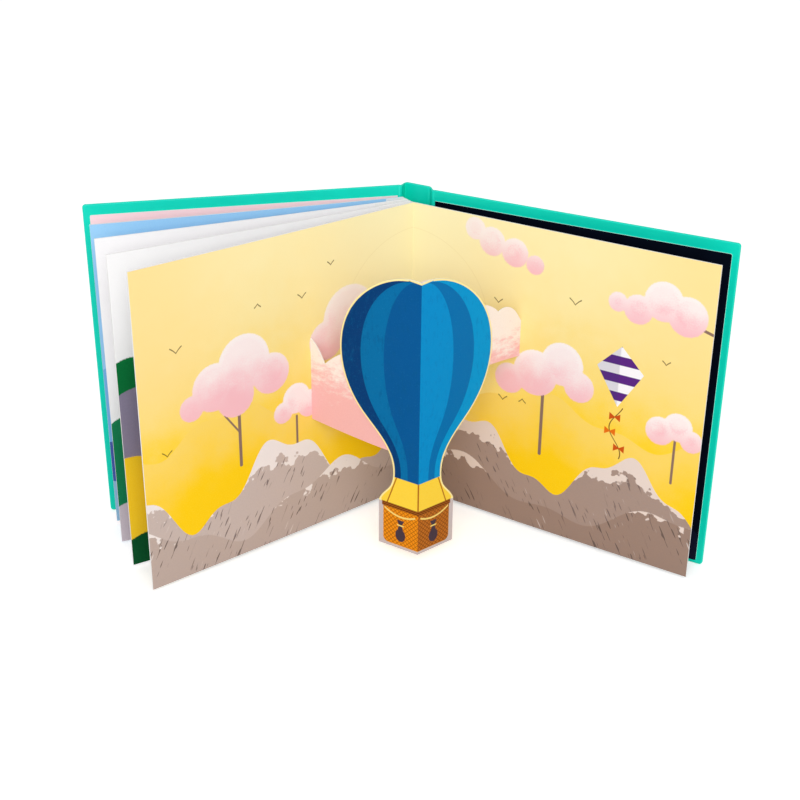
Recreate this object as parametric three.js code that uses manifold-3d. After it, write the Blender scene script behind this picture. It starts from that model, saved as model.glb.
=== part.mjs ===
import * as THREE from 'three'
import { mergeVertices } from 'three/addons/utils/BufferGeometryUtils.js'
import Module from 'manifold-3d'

// A hard-cover pop-up picture book, standing open on its lower edges. Millimetres, +Z up.
// The origin is the middle of the spine's foot and the open side faces -Y.
// A heading is an angle in degrees seen from above, counted from -Y and growing towards -X.

// The case: two cover boards and a spine board, wrapped in one printed paper
const boardWidth = 197
const boardHeight = 209
const boardThickness = 2.5
const boardCorner = 2
const wrapRoundWide = 0.6       // how far the wrapped edge rounds off across the board
const wrapRoundThick = 0.9      // and through its thickness
const spineWidth = 20
const spineTurn = 33            // the spine's right end is turned this far towards the open side
const jointWidth = 7            // flexible paper between the spine board and a cover board
const jointThickness = 0.7
const grooveDepth = 0.5         // how far the paper dips between the boards, seen from outside
const grooveSteps = 6
const frontJointHeading = 24
const backJointHeading = -12
const frontCoverHeading = 75.6
const backCoverHeading = -59.7

// The pages: five stiff leaves of two cards each, and the two paste-downs inside the covers
const pageWidth = 202
const pageHeight = 200
const leafThickness = 0.9
const tailSquare = 2.5          // how far the pages sit above the foot of the covers
const foreSquare = 4            // cover showing past a paste-down at its outer edge
const pastedownThickness = 0.4
const pastedownInset = 2.5      // from a cover's hinge line to its paste-down
const leafHeadings = [71.2, 64.7, 57.3, 49.2, -56.3]
const openLeaf = 3              // the open spread lies between this leaf and the next one
const spreadForward = 16        // from the spine board's middle plane to the open spread's gutter
const spreadSide = 6.8          // and to the right of the spine's middle
const rootBack = 4              // each earlier leaf is rooted this much nearer the spine
const rootSide = 2.1            // and this much further to the left
const foldDepth = 1.6           // how far a fold between two leaves cuts back past their roots
const footLeft = 2.5            // the folded backs glued to the spine, from its middle
const footRight = 7.2

// The pop-up: a strip glued to both open pages, and the balloon glued on the strip's front
const cardThickness = 0.6
const stripLeft = 82            // from the gutter to the strip's fold on the left page
const stripRight = 80
const tabWidth = 11
const tabFootCut = 0.08         // a tab's free edge stops short of its fold's foot and head by these
const tabHeadCut = 0.4          // shares of the fold, so that no scallop shows it
const stripTop = 146
const leftFoldFoot = 79
const leftFoldHead = 133
const leftStripFoot = 73        // the left half's lower edge where it meets the middle fold
const rightFoldFoot = 119
const rightFoldHead = 142
const rightStripFoot = 116

// The lower edges bend towards a point, given as [share of the half's length, height over the outer
// fold's foot]
const leftFootBend = [0.6, -6]
const rightFootBend = [0.5, 3]

// Scallops along the strip's upper edge, each drawn towards a crest and ending in a notch. Both are
// [share of the half's length from its outer fold, height above the line between its two folds].
const leftScallops = [
  { crest: [0.78, 6], notch: [0.56, -10] },
  { crest: [0.36, -1], notch: [0.13, -16] },
  { crest: [0.07, -4], notch: [0, 0] }
]
const rightScallops = [
  { crest: [0.8, 13], notch: [0.6, 7.5] },
  { crest: [0.42, 24], notch: [0.24, 10] },
  { crest: [0.1, 16], notch: [0, 0] }
]
const balloonThickness = 0.7
const crownHeight = 185.6
const crownRise = 4.4
const bellyHeight = 134
const bellyHalf = 57
const skirtHeight = 60
const skirtHalf = 18
const basketFoot = 8.5
const basketRim = 39
const basketHalf = 28.6
const basketCorner = 2.5
const basketTaper = 4           // the card narrows this much and this high above the basket's rim
const basketShoulder = 9
const waistShare = 0.7          // the flank is steepest at this share of the belly's half width
const waistDrop = 3
const waistLean = 10
const flankEase = 16            // how softly the flank leaves the skirt and meets the belly
const shoulderShare = 0.74      // how full the shoulders are, up and across
const crownShare = 0.32

// What rests on or is glued to another piece lies this far from it
const seat = 0.3

const rad = THREE.MathUtils.degToRad
const heading = (degrees) => new THREE.Vector2(-Math.sin(rad(degrees)), -Math.cos(rad(degrees)))
const leftOf = (d) => new THREE.Vector2(-d.y, d.x)
const rightOf = (d) => new THREE.Vector2(d.y, -d.x)
const along = (p, d, distance) => p.clone().addScaledVector(d, distance)

// Where two lines in plan meet, each given by a point and a direction
function meet(p, d, q, e) {
  const t = (q.clone().sub(p)).cross(e) / d.cross(e)
  return along(p, d, t)
}

const wasm = await Module()
wasm.setup()

function toSolid(geometry) {
  const bare = geometry.clone()
  bare.deleteAttribute('normal')
  bare.deleteAttribute('uv')
  const merged = mergeVertices(bare, 1e-4)
  return new wasm.Manifold(new wasm.Mesh({
    numProp: 3,
    vertProperties: new Float32Array(merged.attributes.position.array),
    triVerts: new Uint32Array(merged.index.array)
  }))
}

function join(geometries) {
  const solid = geometries.map(toSolid).reduce((whole, piece) => whole.add(piece))
  const mesh = solid.getMesh()
  const geometry = new THREE.BufferGeometry()
  geometry.setAttribute('position', new THREE.BufferAttribute(new Float32Array(mesh.vertProperties), 3))
  geometry.setIndex(new THREE.BufferAttribute(new Uint32Array(mesh.triVerts), 1))
  geometry.computeVertexNormals()
  return geometry
}

// A flat sheet standing on edge: its outline is drawn across and up, then set in plan at a point
// with its width running along a direction, its middle plane on that line
function standSheet(outline, thickness, start, direction, bevel) {
  const depth = bevel ? thickness - 2 * bevel.bevelThickness : thickness
  const options = { depth, bevelEnabled: Boolean(bevel), curveSegments: 12, ...bevel }
  const sheet = new THREE.ExtrudeGeometry(outline, options)
  sheet.translate(0, 0, -depth / 2)
  const across = new THREE.Vector3(direction.x, direction.y, 0)
  const up = new THREE.Vector3(0, 0, 1)
  const place = new THREE.Matrix4().makeBasis(across, up, across.clone().cross(up))
  place.setPosition(start.x, start.y, 0)
  return sheet.applyMatrix4(place)
}

// A rectangle with rounded corners, from x0 to x1 across and z0 to z1 up
function roundedPanel(x0, x1, z0, z1, radius) {
  const shape = new THREE.Shape()
  shape.moveTo(x0 + radius, z0)
  shape.lineTo(x1 - radius, z0)
  shape.absarc(x1 - radius, z0 + radius, radius, -Math.PI / 2, 0)
  shape.lineTo(x1, z1 - radius)
  shape.absarc(x1 - radius, z1 - radius, radius, 0, Math.PI / 2)
  shape.lineTo(x0 + radius, z1)
  shape.absarc(x0 + radius, z1 - radius, radius, Math.PI / 2, Math.PI)
  shape.lineTo(x0, z0 + radius)
  shape.absarc(x0 + radius, z0 + radius, radius, Math.PI, Math.PI * 1.5)
  return shape
}

// A board with the cover paper turned over its edges, from x0 to x1 along a direction in plan.
// ExtrudeGeometry grows the outline by the bevel, so the outline is drawn that much smaller.
function wrappedBoard(x0, x1, start, direction) {
  const inset = wrapRoundWide
  const outline = roundedPanel(x0 + inset, x1 - inset, inset, boardHeight - inset, boardCorner - inset)
  const bevel = {
    bevelThickness: wrapRoundThick,
    bevelSize: wrapRoundWide,
    bevelSegments: 3,
    curveSegments: 3
  }
  return standSheet(outline, boardThickness, start, direction, bevel)
}

// A fold in a sheet of card, rounded to the card's own thickness
function foldBead(point, thickness, z0, z1) {
  const bead = new THREE.CylinderGeometry(thickness / 2, thickness / 2, z1 - z0, 12)
  bead.rotateX(Math.PI / 2)
  bead.translate(point.x, point.y, (z0 + z1) / 2)
  return bead
}

// A prism standing on a plan outline
function prism(points, z0, z1) {
  const solid = new THREE.ExtrudeGeometry(new THREE.Shape(points), { depth: z1 - z0, bevelEnabled: false })
  solid.translate(0, 0, z0)
  return solid
}

// The flexible paper between two boards, dished into the groove that a case has on its outside
function groovePaper(start, direction, outward) {
  const clear = swingRadius + seat
  const section = []
  for (const side of [1, -1]) {
    for (let step = 0; step <= grooveSteps; step += 1) {
      const share = side > 0 ? step / grooveSteps : 1 - step / grooveSteps
      const middle = along(start, direction, clear + (jointWidth - 2 * clear) * share)
      const rise = side * jointThickness / 2 - grooveDepth * Math.sin(Math.PI * share)
      section.push(along(middle, outward, rise))
    }
  }
  return prism(section, 0, boardHeight)
}

const book = new THREE.Group()

function addPiece(name, geometry, color, roughness) {
  const material = new THREE.MeshStandardMaterial({ color, roughness, metalness: 0 })
  const mesh = new THREE.Mesh(geometry, material)
  mesh.name = name
  book.add(mesh)
}

// Plan layout
const origin = new THREE.Vector2(0, 0)
const spineAlong = new THREE.Vector2(Math.cos(rad(spineTurn)), -Math.sin(rad(spineTurn)))
const spineOut = leftOf(spineAlong)
const foldInset = wrapRoundWide + 0.05      // a fold line lies this far inside a board's end
const swingRadius = boardThickness / 2      // the rounded end of a board turns inside this radius
const spineFoldLeft = along(origin, spineAlong, -(spineWidth / 2 - foldInset))
const spineFoldRight = along(origin, spineAlong, spineWidth / 2 - foldInset)
const frontHinge = along(spineFoldLeft, heading(frontJointHeading), jointWidth)
const backHinge = along(spineFoldRight, heading(backJointHeading), jointWidth)
const gutter = along(along(origin, spineAlong, spreadSide), spineOut, -spreadForward)

// Case
function addCase() {
  const wrapColor = 0x0fae8c
  addPiece('spine', wrappedBoard(-spineWidth / 2, spineWidth / 2, origin, spineAlong), wrapColor, 0.45)
  const covers = [
    ['front', frontHinge, frontCoverHeading, spineFoldLeft, frontJointHeading, leftOf, 0xf6c9cc],
    ['back', backHinge, backCoverHeading, spineFoldRight, backJointHeading, rightOf, 0x0a0e18]
  ]
  for (const [side, hinge, turn, spineFold, jointTurn, inward, endColor] of covers) {
    const out = heading(turn)
    const outerEdge = boardWidth - foldInset
    addPiece(`${side}_cover`, wrappedBoard(-foldInset, outerEdge, hinge, out), wrapColor, 0.45)

    const jointOut = heading(jointTurn)
    const joint = groovePaper(spineFold, jointOut, inward(jointOut).negate())
    addPiece(`${side}_joint`, joint, wrapColor, 0.45)

    const lift = boardThickness / 2 + seat + pastedownThickness / 2
    const face = along(hinge, inward(out), lift)
    const sheet = roundedPanel(
      pastedownInset, outerEdge - foreSquare, tailSquare, tailSquare + pageHeight, boardCorner / 2)
    addPiece(`${side}_pastedown`, standSheet(sheet, pastedownThickness, face, out), endColor, 0.6)
  }
}

// The leaves are one folded block: it is drawn in plan, leaf by leaf from the front cover to the
// back cover, with a fold between each two, and closed along the backs glued to the spine
function addPages() {
  const half = leafThickness / 2
  const leaves = leafHeadings.map((turn, index) => {
    const stepsBack = Math.max(openLeaf - index, 0)
    const backed = along(gutter, spineOut, rootBack * stepsBack)
    return { root: along(backed, spineAlong, -rootSide * stepsBack), out: heading(turn) }
  })
  const outline = []
  leaves.forEach(({ root, out }, index) => {
    const tip = along(root, out, pageWidth)
    const rear = rightOf(out)
    const front = leftOf(out)
    if (index > openLeaf) outline.push(along(tip, rear, half), along(tip, front, half))
    else outline.push(along(root, rear, half), along(tip, rear, half), along(tip, front, half))
    const next = leaves[index + 1]
    if (!next) outline.push(along(root, front, half))
    else if (index === openLeaf) {
      outline.push(meet(along(root, front, half), out, along(next.root, rightOf(next.out), half), next.out))
    } else {
      const middle = root.clone().add(next.root).multiplyScalar(0.5)
      outline.push(along(middle, out, -foldDepth / 2 + half))
    }
  })
  const backs = boardThickness / 2 + seat
  outline.push(along(along(origin, spineAlong, footRight), spineOut, -backs))
  outline.push(along(along(origin, spineAlong, -footLeft), spineOut, -backs))
  addPiece('pages', prism(outline, tailSquare, tailSquare + pageHeight), 0xfbe9b0, 0.65)
}

// Pop-up
const leftPage = heading(leafHeadings[openLeaf])
const rightPage = heading(leafHeadings[openLeaf + 1])
const tabLift = leafThickness / 2 + seat + cardThickness / 2
const leftFold = along(along(gutter, leftPage, stripLeft), leftOf(leftPage), tabLift)
const rightFold = along(along(gutter, rightPage, stripRight), rightOf(rightPage), tabLift)
const ridge = meet(leftFold, rightPage, rightFold, leftPage)

// Half of the strip: its outer fold stands at 0, its middle fold at the half's length
function stripHalf(length, foldFoot, foldHead, footBend, stripFoot, scallops) {
  const shape = new THREE.Shape()
  shape.moveTo(0, foldFoot)
  const [bendShare, bendRise] = footBend
  shape.quadraticCurveTo(length * bendShare, foldFoot + bendRise, length, stripFoot)
  shape.lineTo(length, stripTop)
  const edgePoint = ([share, rise]) => [length * share, foldHead + (stripTop - foldHead) * share + rise]
  for (const { crest, notch } of scallops) shape.quadraticCurveTo(...edgePoint(crest), ...edgePoint(notch))
  return shape
}

// A glue tab behind the strip, full height at its fold
function glueTab(foldFoot, foldHead) {
  const fold = foldHead - foldFoot
  const shape = new THREE.Shape()
  shape.moveTo(0, foldFoot)
  shape.lineTo(tabWidth, foldFoot + fold * tabFootCut)
  shape.lineTo(tabWidth, foldHead - fold * tabHeadCut)
  shape.lineTo(0, foldHead)
  return shape
}

function addStrip() {
  const leftLength = leftFold.distanceTo(ridge)
  const rightLength = rightFold.distanceTo(ridge)
  const leftHalf = stripHalf(
    leftLength, leftFoldFoot, leftFoldHead, leftFootBend, leftStripFoot, leftScallops)
  const rightHalf = stripHalf(
    rightLength, rightFoldFoot, rightFoldHead, rightFootBend, rightStripFoot, rightScallops)
  const leftTab = glueTab(leftFoldFoot, leftFoldHead)
  const rightTab = glueTab(rightFoldFoot, rightFoldHead)
  const strip = join([
    standSheet(leftTab, cardThickness, leftFold, leftPage.clone().negate()),
    foldBead(leftFold, cardThickness, leftFoldFoot, leftFoldHead),
    standSheet(leftHalf, cardThickness, leftFold, rightPage),
    foldBead(ridge, cardThickness, rightStripFoot, stripTop),
    standSheet(rightHalf, cardThickness, rightFold, leftPage),
    foldBead(rightFold, cardThickness, rightFoldFoot, rightFoldHead),
    standSheet(rightTab, cardThickness, rightFold, rightPage.clone().negate())
  ])
  addPiece('popup_strip', strip, 0xf8d3d0, 0.65)
}

// Half of the balloon and its basket, from the middle fold outwards
function balloonHalf() {
  const shape = new THREE.Shape()
  const curve = (...points) => shape.bezierCurveTo(...points.flat())
  shape.moveTo(0, basketFoot)
  shape.lineTo(basketHalf - basketCorner, basketFoot)
  shape.absarc(basketHalf - basketCorner, basketFoot + basketCorner, basketCorner, -Math.PI / 2, 0)
  shape.lineTo(basketHalf, basketRim)
  const shoulder = basketRim + basketShoulder
  curve([basketHalf - basketTaper, shoulder], [skirtHalf, shoulder], [skirtHalf, skirtHeight])
  const waist = [bellyHalf * waistShare, (bellyHeight + skirtHeight) / 2 - waistDrop]
  curve([skirtHalf, skirtHeight + flankEase], [waist[0] - waistLean, waist[1] - waistLean], waist)
  curve([waist[0] + waistLean, waist[1] + waistLean], [bellyHalf, bellyHeight - flankEase],
    [bellyHalf, bellyHeight])
  const full = bellyHeight + (crownHeight - bellyHeight) * shoulderShare
  curve([bellyHalf, full], [bellyHalf * crownShare, crownHeight + crownRise], [0, crownHeight])
  return shape
}

function addBalloon() {
  const lift = cardThickness / 2 + seat + balloonThickness / 2
  const leftFront = along(ridge, rightOf(rightPage), lift)
  const rightFront = along(ridge, leftOf(leftPage), lift)
  const nose = meet(leftFront, rightPage, rightFront, leftPage)
  const balloon = join([
    standSheet(balloonHalf(), balloonThickness, nose, rightPage.clone().negate()),
    standSheet(balloonHalf(), balloonThickness, nose, leftPage.clone().negate()),
    foldBead(nose, balloonThickness, basketFoot, crownHeight)
  ])
  addPiece('popup_balloon', balloon, 0x0a78bd, 0.55)
}

addCase()
addPages()
addStrip()
addBalloon()

export default book
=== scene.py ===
import math
import bpy
import bmesh
from mathutils import Matrix, Vector


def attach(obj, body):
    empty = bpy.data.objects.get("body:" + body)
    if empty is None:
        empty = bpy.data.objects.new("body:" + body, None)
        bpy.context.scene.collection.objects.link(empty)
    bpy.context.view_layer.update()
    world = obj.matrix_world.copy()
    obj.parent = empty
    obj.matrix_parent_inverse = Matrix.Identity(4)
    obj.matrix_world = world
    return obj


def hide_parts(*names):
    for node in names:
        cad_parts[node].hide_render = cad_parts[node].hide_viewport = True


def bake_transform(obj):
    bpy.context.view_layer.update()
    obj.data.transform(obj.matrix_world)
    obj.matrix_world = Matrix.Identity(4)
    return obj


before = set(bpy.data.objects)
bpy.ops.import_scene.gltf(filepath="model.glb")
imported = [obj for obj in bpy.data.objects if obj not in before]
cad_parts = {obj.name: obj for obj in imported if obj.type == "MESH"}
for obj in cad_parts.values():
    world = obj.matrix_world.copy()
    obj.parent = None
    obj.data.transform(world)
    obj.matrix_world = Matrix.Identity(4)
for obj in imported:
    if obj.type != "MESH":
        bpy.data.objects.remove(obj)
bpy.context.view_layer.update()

# Lengths below are millimetres in the book's own frame, turned into metres as meshes are made.
# A heading is seen from above: 0 runs towards the reader, positive headings turn to the left.
mm = 0.001


# Small tools for the plan drawing.
def headingOf(degrees):
    turn = math.radians(degrees)
    return Vector((-math.sin(turn), -math.cos(turn)))


def leftOf(d):
    return Vector((-d.y, d.x))


def rightOf(d):
    return Vector((d.y, -d.x))


def meet(p, d, q, e):  # where two lines in plan cross
    gap = q - p
    return p + d * ((gap.x * e.y - gap.y * e.x) / (d.x * e.y - d.y * e.x))


def bezier(a, b, c, d, steps=14):  # leaves out its first point
    points = []
    for step in range(1, steps + 1):
        t = step / steps
        s = 1 - t
        points.append(tuple(
            s * s * s * a[i] + 3 * s * s * t * b[i] + 3 * s * t * t * c[i] + t * t * t * d[i]
            for i in range(2)))
    return points


def arch(a, b, c, steps=10):  # a quadratic curve as a cubic one
    first = tuple(a[i] + (b[i] - a[i]) * 2 / 3 for i in range(2))
    second = tuple(c[i] + (b[i] - c[i]) * 2 / 3 for i in range(2))
    return bezier(a, first, second, c, steps)


# The book's plan, seen from above.
case = {
    "boardWidth": 197, "boardHeight": 209, "boardThickness": 2.5,
    "spineWidth": 20, "spineTurn": 33, "foldInset": 0.65,
    "jointWidth": 7, "frontJoint": 24, "backJoint": -12,
    "frontCover": 75.6, "backCover": -59.7,
}
block = {
    "width": 202, "height": 200, "thickness": 0.9, "foot": 2.5,
    "headings": [71.2, 64.7, 57.3, 49.2, -56.3],
    "openLeaf": 3, "forward": 16, "side": 6.8, "rootBack": 4, "rootSide": 2.1,
}
spineAngle = math.radians(case["spineTurn"])
spineAlong = Vector((math.cos(spineAngle), -math.sin(spineAngle)))
spineOut = leftOf(spineAlong)
spineReach = case["spineWidth"] / 2 - case["foldInset"]
spineFoldLeft = spineAlong * -spineReach
spineFoldRight = spineAlong * spineReach
frontHinge = spineFoldLeft + headingOf(case["frontJoint"]) * case["jointWidth"]
backHinge = spineFoldRight + headingOf(case["backJoint"]) * case["jointWidth"]
covers = [  # its fold at the spine, the way to the spine, its hinge, its heading, and what turns that inwards
    ("front", spineFoldLeft, spineAlong, frontHinge, headingOf(case["frontCover"]), leftOf),
    ("back", spineFoldRight, -spineAlong, backHinge, headingOf(case["backCover"]), rightOf),
]
gutter = spineAlong * block["side"] - spineOut * block["forward"]
leafRoots = []
for index in range(len(block["headings"])):
    stepsBack = max(block["openLeaf"] - index, 0)
    leafRoots.append(gutter + spineOut * block["rootBack"] * stepsBack
                     - spineAlong * block["rootSide"] * stepsBack)
leftPage = headingOf(block["headings"][block["openLeaf"]])
rightPage = headingOf(block["headings"][block["openLeaf"] + 1])


# Colour and shader maths.
def srgb(r, g, b):
    def line(value):
        value /= 255
        return value / 12.92 if value <= 0.04045 else ((value + 0.055) / 1.055) ** 2.4
    return (line(r), line(g), line(b), 1.0)


class Num:  # a number socket that can be used in an expression
    def __init__(self, ink, socket):
        self.ink, self.socket = ink, socket

    def __abs__(self):
        return self.ink.calc("ABSOLUTE", self)


for name, operation in (("add", "ADD"), ("sub", "SUBTRACT"), ("mul", "MULTIPLY"), ("truediv", "DIVIDE")):
    setattr(Num, "__%s__" % name, lambda self, other, kind=operation: self.ink.calc(kind, self, other))
    setattr(Num, "__r%s__" % name, lambda self, other, kind=operation: self.ink.calc(kind, other, self))


looks = {  # bump depths are metres, grain and cloud are noise scales
    "specular": 0.05,
    "wrap": {
        "dark": (0, 218, 190), "light": (6, 230, 202), "cloud": 30, "grain": 1400,
        "roughness": 0.34, "mottle": 0.1, "bump": 0.15, "depth": 0.00005, "specular": 0.2},
    "edge": {
        "dark": (240, 238, 236), "light": (252, 251, 249), "grain": 900,
        "roughness": 0.75, "bump": 0.3, "depth": 0.0001},
    "print": {
        "grain": 0.9, "cloud": 0.06, "fine": 2.2,
        "roughness": 0.42, "mottle": 0.12, "bump": 0.12, "depth": 0.00004},
}


class Nodes:  # the nodes of one tree
    def __init__(self, tree):
        self.tree = tree

    def node(self, kind, settings=None, values=None):
        node = self.tree.nodes.new(kind)
        for key, value in (settings or {}).items():
            setattr(node, key, value)
        for key, value in (values or {}).items():
            self.feed(node.inputs[key], value)
        return node

    def out(self, kind, settings=None, values=None, socket=0):
        return self.node(kind, settings, values).outputs[socket]

    def feed(self, socket, value):
        if isinstance(value, Num):
            value = value.socket
        if isinstance(value, bpy.types.NodeSocket):
            self.tree.links.new(value, socket)
        else:
            socket.default_value = value

    def calc(self, operation, *values):
        return Num(self, self.out("ShaderNodeMath", {"operation": operation}, dict(enumerate(values))))

    def vector(self, operation, *values, scale=None):
        node = self.node("ShaderNodeVectorMath", {"operation": operation}, dict(enumerate(values)))
        if scale is not None:
            self.feed(node.inputs["Scale"], scale)
        return node.outputs[1] if operation in ("DISTANCE", "LENGTH", "DOT_PRODUCT") else node.outputs[0]

    def split(self, vector):
        node = self.node("ShaderNodeSeparateXYZ", None, {0: vector})
        return [Num(self, socket) for socket in node.outputs]

    def combine(self, values):
        return self.out("ShaderNodeCombineXYZ", None, dict(enumerate(values)))


class Ink(Nodes):  # one material, or the world, and the nodes it is mixed from
    def __init__(self, name, owner=None):
        self.owner = owner or bpy.data.materials.new(name)
        self.owner.use_nodes = True
        super().__init__(self.owner.node_tree)
        self.tree.nodes.clear()

    def step(self, value, low, high):  # 0 below low, 1 above high, smooth between
        return Num(self, self.out("ShaderNodeMapRange", {"interpolation_type": "SMOOTHSTEP"},
                                  {"Value": value, "From Min": low, "From Max": high}))

    def mix(self, mask, under, over):  # a colour is a socket or its red, green and blue from 0 to 255
        under, over = [srgb(*colour) if isinstance(colour, tuple) else colour for colour in (under, over)]
        return self.out("ShaderNodeMix", {"data_type": "RGBA"}, {0: mask, 6: under, 7: over}, 2)

    def noise(self, vector, scale, detail=3.0, roughness=0.55):
        return Num(self, self.out("ShaderNodeTexNoise", None, {
            "Vector": vector, "Scale": scale, "Detail": detail, "Roughness": roughness}))

    def far(self, point, x, z):
        return Num(self, self.vector("DISTANCE", point, (x, z, 0)))

    def segment(self, point, start, end):  # distance to a straight stroke
        run = (end[0] - start[0], end[1] - start[1], 0)
        length = run[0] ** 2 + run[1] ** 2
        inside = self.vector("SUBTRACT", point, (start[0], start[1], 0))
        share = Num(self, self.vector("DOT_PRODUCT", inside, run)) / length
        share = self.calc("MINIMUM", self.calc("MAXIMUM", share, 0.0), 1.0)
        back = self.vector("SCALE", self.combine(run), scale=share)
        return Num(self, self.vector("LENGTH", self.vector("SUBTRACT", inside, back)))

    def within(self, value, reach, soft=0.25):  # 1 where the value is below reach
        return self.step(value, reach + soft, reach - soft)

    def band(self, value, centre, reach, soft):  # 1 where the value is within reach of the centre
        return self.within(abs(value - centre), reach, soft)

    def wave(self, across, base, *swings):  # swings of (height, wavelength, start)
        total = None
        for height, length, start in swings:
            angle = self.calc("MULTIPLY_ADD", across, 2 * math.pi / length, start)
            swing = self.calc("SINE", angle) * height
            total = swing if total is None else total + swing
        return total + base

    def objectPlace(self):
        return self.out("ShaderNodeTexCoord", socket="Object")

    def finish(self, colour, roughness, bump=None, extra=None):  # bump is (height, strength, depth)
        values = {"Base Color": colour, "Roughness": roughness, "Specular IOR Level": looks["specular"]}
        values.update(extra or {})
        if bump:
            height, strength, depth = bump
            values["Normal"] = self.out("ShaderNodeBump", None, {
                "Strength": strength, "Distance": depth, "Height": height})
        self.node("ShaderNodeOutputMaterial", None, {0: self.out("ShaderNodeBsdfPrincipled", None, values)})
        return self.owner


def wrapPaper():
    look = looks["wrap"]
    ink = Ink("case wrap")
    place = ink.objectPlace()
    cloud = ink.noise(place, look["cloud"])
    fine = ink.noise(place, look["grain"], 2)
    colour = ink.mix(cloud, look["dark"], look["light"])
    roughness = look["roughness"] + look["mottle"] * cloud
    bump = (fine, look["bump"], look["depth"])
    return ink.finish(colour, roughness, bump, {"Specular IOR Level": look["specular"]})


def cardEdge():
    look = looks["edge"]
    ink = Ink("cut card edge")
    fine = ink.noise(ink.objectPlace(), look["grain"], 3)
    colour = ink.mix(fine, look["dark"], look["light"])
    return ink.finish(colour, look["roughness"], (fine, look["bump"], look["depth"]))


class Print(Ink):  # an ink that starts with a sheet's own coordinates, in millimetres
    def __init__(self, name):
        super().__init__(name)
        self.point = self.vector("SCALE", self.out("ShaderNodeUVMap", {"uv_map": "print"}), scale=1000.0)
        self.u, self.v = self.split(self.point)[:2]
        self.grain = self.noise(self.point, looks["print"]["grain"], 4, 0.65)
        self.cloud = self.noise(self.point, looks["print"]["cloud"], 2)
        self.speck, self.drift = self.grain - 0.5, self.cloud - 0.5

    def press(self, colour, roughness=looks["print"]["roughness"]):  # printed, lightly varnished card
        look = looks["print"]
        fine = self.noise(self.point, look["fine"], 2)
        roughness = roughness + look["mottle"] * self.grain
        return self.finish(colour, roughness, (fine, look["bump"], look["depth"]))


bloomArt = {
    "melt": 1.5, "ragged": 1.6, "soft": 0.5,  # how discs run together, and their edge
    "cloud": 26, "grain": 16,  # how unevenly they turn pale
    "rim": (-9.0, -2.0), "rimGrain": 9, "rimDrop": 4,
    "rose": (248, 190, 196), "cream": (252, 240, 236),
}


def blooms(ink, colour, discs, low, high):  # round soft blossom heads, pale on top
    art = bloomArt
    reach = None
    for x, z, radius in discs:
        one = ink.far(ink.point, x, z) - radius
        reach = one if reach is None else ink.calc("SMOOTH_MIN", reach, one, art["melt"])
    mask = ink.within(reach + ink.speck * art["ragged"], 0, art["soft"])
    lift = ink.step(ink.v + ink.drift * art["cloud"] + ink.speck * art["grain"], low, high)
    rim = ink.step(reach + ink.speck * art["rimGrain"], *art["rim"])
    rim = rim * ink.step(ink.v, low - art["rimDrop"], high)
    pale = ink.calc("MAXIMUM", lift * 0.9, rim)
    return ink.mix(mask, colour, ink.mix(pale, art["rose"], art["cream"]))


hillArt = {
    "ragged": 0.8, "soft": 0.3,
    "frostShare": 0.55, "frostScale": 0.11, "frostWander": 26, "frostGrain": 2,
    "slant": 118, "stroke": (12, 1.7, 1), "patch": 0.035,
    "hatch": (0.64, 0.68), "hatchPatch": (0.42, 0.55), "fleck": (0.30, 0.27), "fleckPatch": (0.5, 0.6),
    "shade": (120, 100, 92), "light": (235, 225, 220),
}


def hill(ink, colour, top, body, cap, snowLine, stroke):  # a rolling hill, pale towards its crests
    art = hillArt
    mask = ink.within(ink.v - top + ink.speck * art["ragged"], 0, art["soft"])
    below = top - ink.v
    ragged = ink.noise(ink.point, art["frostScale"], 2, 0.5)
    depth = (top - snowLine) * art["frostShare"]
    wander = below - depth + (ragged - 0.5) * art["frostWander"] + ink.speck * art["frostGrain"]
    frost = ink.within(wander, 0, 0.5)
    slanted = ink.out("ShaderNodeMapping", {"vector_type": "TEXTURE"}, {
        "Vector": ink.point, "Rotation": (0, 0, math.radians(art["slant"])), "Scale": art["stroke"]})
    scratch = ink.noise(slanted, 1.0, 1, 0.4)
    patch = ink.noise(ink.point, art["patch"], 1)
    hatch = ink.step(scratch, *art["hatch"]) * ink.step(patch, *art["hatchPatch"])
    fleck = ink.step(scratch, *art["fleck"]) * ink.step(patch, *art["fleckPatch"])
    tone = ink.mix(ink.grain * 0.2, body, art["shade"])
    tone = ink.mix(hatch * 0.8, tone, stroke)
    tone = ink.mix(fleck * 0.6, tone, art["light"])
    return ink.mix(mask, colour, ink.mix(frost, tone, cap))


gullArt = {"slope": 1.25, "droop": 0.35, "line": 0.42, "ink": (92, 74, 40)}


def gull(ink, colour, x, z, span, turn):  # two small pen strokes that meet
    across = abs(ink.u - x)
    line = abs((ink.v - z) * turn - across * gullArt["slope"] + across * across * (gullArt["droop"] / span))
    mask = ink.within(line, gullArt["line"], 0.16) * ink.within(across, span, 0.2)
    return ink.mix(mask * 0.85, colour, gullArt["ink"])


kiteArt = {
    "place": (148, 124), "rise": 15, "drop": 24, "half": 15, "stripe": 11.5,
    "swing": (4.2, 34, 1.4), "tailHalf": 17, "bows": (7, 17, 27), "bowHalf": 3.6,
}


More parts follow.
